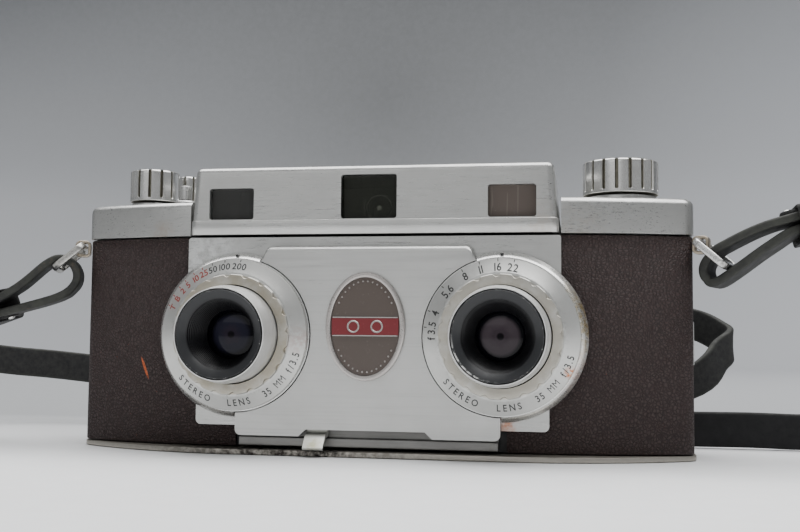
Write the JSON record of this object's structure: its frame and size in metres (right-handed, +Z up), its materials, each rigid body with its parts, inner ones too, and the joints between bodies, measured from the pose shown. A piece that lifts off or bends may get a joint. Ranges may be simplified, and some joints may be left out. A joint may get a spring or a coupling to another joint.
{
  "type": "stereo camera",
  "caption": "Film stereo camera with two lenses in one flat panel, dials round each lens, a raised finder housing, fluted top knobs and a leather neck strap.",
  "frame": {"origin": "on the resting plane, at the middle of the base plate", "axes": "+X to the right of someone facing the lenses, +Y from the lenses to the film, +Z up; the lenses look along -Y"},
  "size_m": [0.315, 0.1078, 0.0784],
  "materials": {
    "satin_aluminium": "satin, finely brushed on the flat fronts",
    "chrome": "polished, lightly worn",
    "silvered_mirror": "silvered front face",
    "brown_leatherette": "dull pebbled grain with small scuffs",
    "black_casting": "die-cast, painted black",
    "black_paint": "semi-gloss, worn bright on edges",
    "coated_glass": "polished, violet coating",
    "nickel_badge": "satin nickel with red enamel",
    "brass": "bare",
    "black_strap_leather": "dull, edges worn"
  },
  "bodies": {
    "body": {"back_cover": "satin_aluminium", "base_plate": "satin_aluminium", "left_top_cap": "satin_aluminium", "right_top_cap": "satin_aluminium", "finder_housing": "satin_aluminium", "lens_panel": "satin_aluminium", "front_cover_plate": "satin_aluminium", "cover_sill": "satin_aluminium", "left_shutter_flange": "satin_aluminium", "right_shutter_flange": "satin_aluminium", "rewind_knob_seat": "satin_aluminium", "release_collar": "chrome", "left_strap_lug": "chrome", "right_strap_lug": "chrome", "left_leather": "brown_leatherette", "right_leather": "brown_leatherette", "back_leather": "brown_leatherette", "body_casting": "black_casting", "film_pressure_plate": "black_paint", "viewfinder_eyepiece": "black_paint", "rangefinder_eyepiece": "black_paint", "left_rangefinder_window": "coated_glass", "viewfinder_window": "coated_glass", "right_rangefinder_window": "coated_glass", "beam_splitter": "coated_glass", "badge": "nickel_badge", "tripod_bush": "brass", "left_plate_spring": "brass", "right_plate_spring": "brass", "neck_strap": "black_strap_leather", "left_strap_keeper": "black_strap_leather", "right_strap_keeper": "black_strap_leather"},
    "back_latch": {"back_latch": "satin_aluminium"},
    "shutter_speed_ring": {"shutter_speed_ring": "satin_aluminium"},
    "aperture_ring": {"aperture_ring": "satin_aluminium"},
    "cocking_slide": {"cocking_slide": "satin_aluminium"},
    "shutter_release": {"shutter_release": "chrome"},
    "advance_knob": {"advance_knob": "chrome"},
    "take_up_spool": {"take_up_spool": "black_paint"},
    "film_sprocket": {"film_sprocket": "chrome"},
    "exposure_counter_dial": {"exposure_counter_dial": "satin_aluminium"},
    "rewind": {"rewind_knob": "chrome", "rewind_fork": "chrome"},
    "focus_knob": {"focus_knob": "chrome"},
    "left_lens": {"left_lens_barrel": "satin_aluminium", "left_rear_lens_tube": "black_paint", "left_front_lens_ring": "black_paint", "left_front_element": "coated_glass", "left_rear_element": "coated_glass"},
    "right_lens": {"right_lens_barrel": "satin_aluminium", "right_rear_lens_tube": "black_paint", "right_front_lens_ring": "black_paint", "right_front_element": "coated_glass", "right_rear_element": "coated_glass"},
    "rangefinder_mirror": {"rangefinder_mirror": "silvered_mirror"},
    "left_strap_ring": {"left_strap_ring": "chrome"},
    "right_strap_ring": {"right_strap_ring": "chrome"}
  },
  "joints": [
    {"name": "back_latch_slide", "type": "slide", "parent": "body", "child": "back_latch", "axis": [0, 0, 1], "range_m": [0, 0.003]},
    {"name": "shutter_speed_turn", "type": "hinge", "parent": "body", "child": "shutter_speed_ring", "pos_m": [-0.035, -0.0214, 0.0313], "axis": [0, 1, 0], "range_deg": [0, 71]},
    {"name": "aperture_turn", "type": "hinge", "parent": "body", "child": "aperture_ring", "pos_m": [0.035, -0.0214, 0.0313], "axis": [0, 1, 0], "range_deg": [-10, 85]},
    {"name": "cocking_travel", "type": "slide", "parent": "body", "child": "cocking_slide", "axis": [1, 0, 0], "range_m": [0, 0.0256]},
    {"name": "release_press", "type": "slide", "parent": "body", "child": "shutter_release", "axis": [0, 0, -1], "range_m": [0, 0.002], "stiffness_N_per_m": 400, "springref_m": -0.0005},
    {"name": "advance_turn", "type": "hinge", "parent": "body", "child": "advance_knob", "pos_m": [-0.068, 0.002, 0.0694], "axis": [0, 0, 1], "continuous": true},
    {"name": "take_up_turn", "type": "hinge", "parent": "body", "child": "take_up_spool", "pos_m": [-0.068, 0.002, 0.006], "axis": [0, 0, 1], "continuous": true},
    {"name": "sprocket_turn", "type": "hinge", "parent": "body", "child": "film_sprocket", "pos_m": [-0.0527, 0.0072, 0.009], "axis": [0, 0, 1], "continuous": true},
    {"name": "counter_turn", "type": "hinge", "parent": "body", "child": "exposure_counter_dial", "pos_m": [-0.068, 0.002, 0.0676], "axis": [0, 0, 1], "continuous": true},
    {"name": "rewind_turn", "type": "hinge", "parent": "body", "child": "rewind", "pos_m": [0.0652, 0.002, 0.0694], "axis": [0, 0, 1], "continuous": true},
    {"name": "focus_turn", "type": "hinge", "parent": "body", "child": "focus_knob", "pos_m": [-0.0616, 0.0126, 0.0694], "axis": [0, 0, 1], "range_deg": [0, 270]},
    {"name": "left_lens_focus", "type": "slide", "parent": "body", "child": "left_lens", "axis": [0, -1, 0], "range_m": [0, 0.0016]},
    {"name": "right_lens_focus", "type": "slide", "parent": "body", "child": "right_lens", "axis": [0, -1, 0], "range_m": [0, 0.0016]},
    {"name": "mirror_swing", "type": "hinge", "parent": "body", "child": "rangefinder_mirror", "pos_m": [0.0374, -0.004, 0.066], "axis": [0, 0, 1], "range_deg": [0, 2.2]},
    {"name": "left_ring_swing", "type": "hinge", "parent": "body", "child": "left_strap_ring", "pos_m": [-0.0851, -0.007, 0.0558], "axis": [-0.3499, 0.9368, 0], "range_deg": [-6, 2]},
    {"name": "right_ring_swing", "type": "hinge", "parent": "body", "child": "right_strap_ring", "pos_m": [0.0851, -0.007, 0.0558], "axis": [0.3499, 0.9368, 0], "range_deg": [-6, 6]}
  ],
  "couplings": [
    {"joint": "take_up_turn", "follows": "advance_turn", "ratio": 1},
    {"joint": "sprocket_turn", "follows": "advance_turn", "ratio": 1.6},
    {"joint": "counter_turn", "follows": "advance_turn", "ratio": 0.022},
    {"joint": "right_lens_focus", "follows": "left_lens_focus", "ratio": 1},
    {"joint": "focus_turn", "follows": "left_lens_focus", "rad_per_m": 2945.2},
    {"joint": "mirror_swing", "follows": "left_lens_focus", "rad_per_m": 22.9}
  ]
}
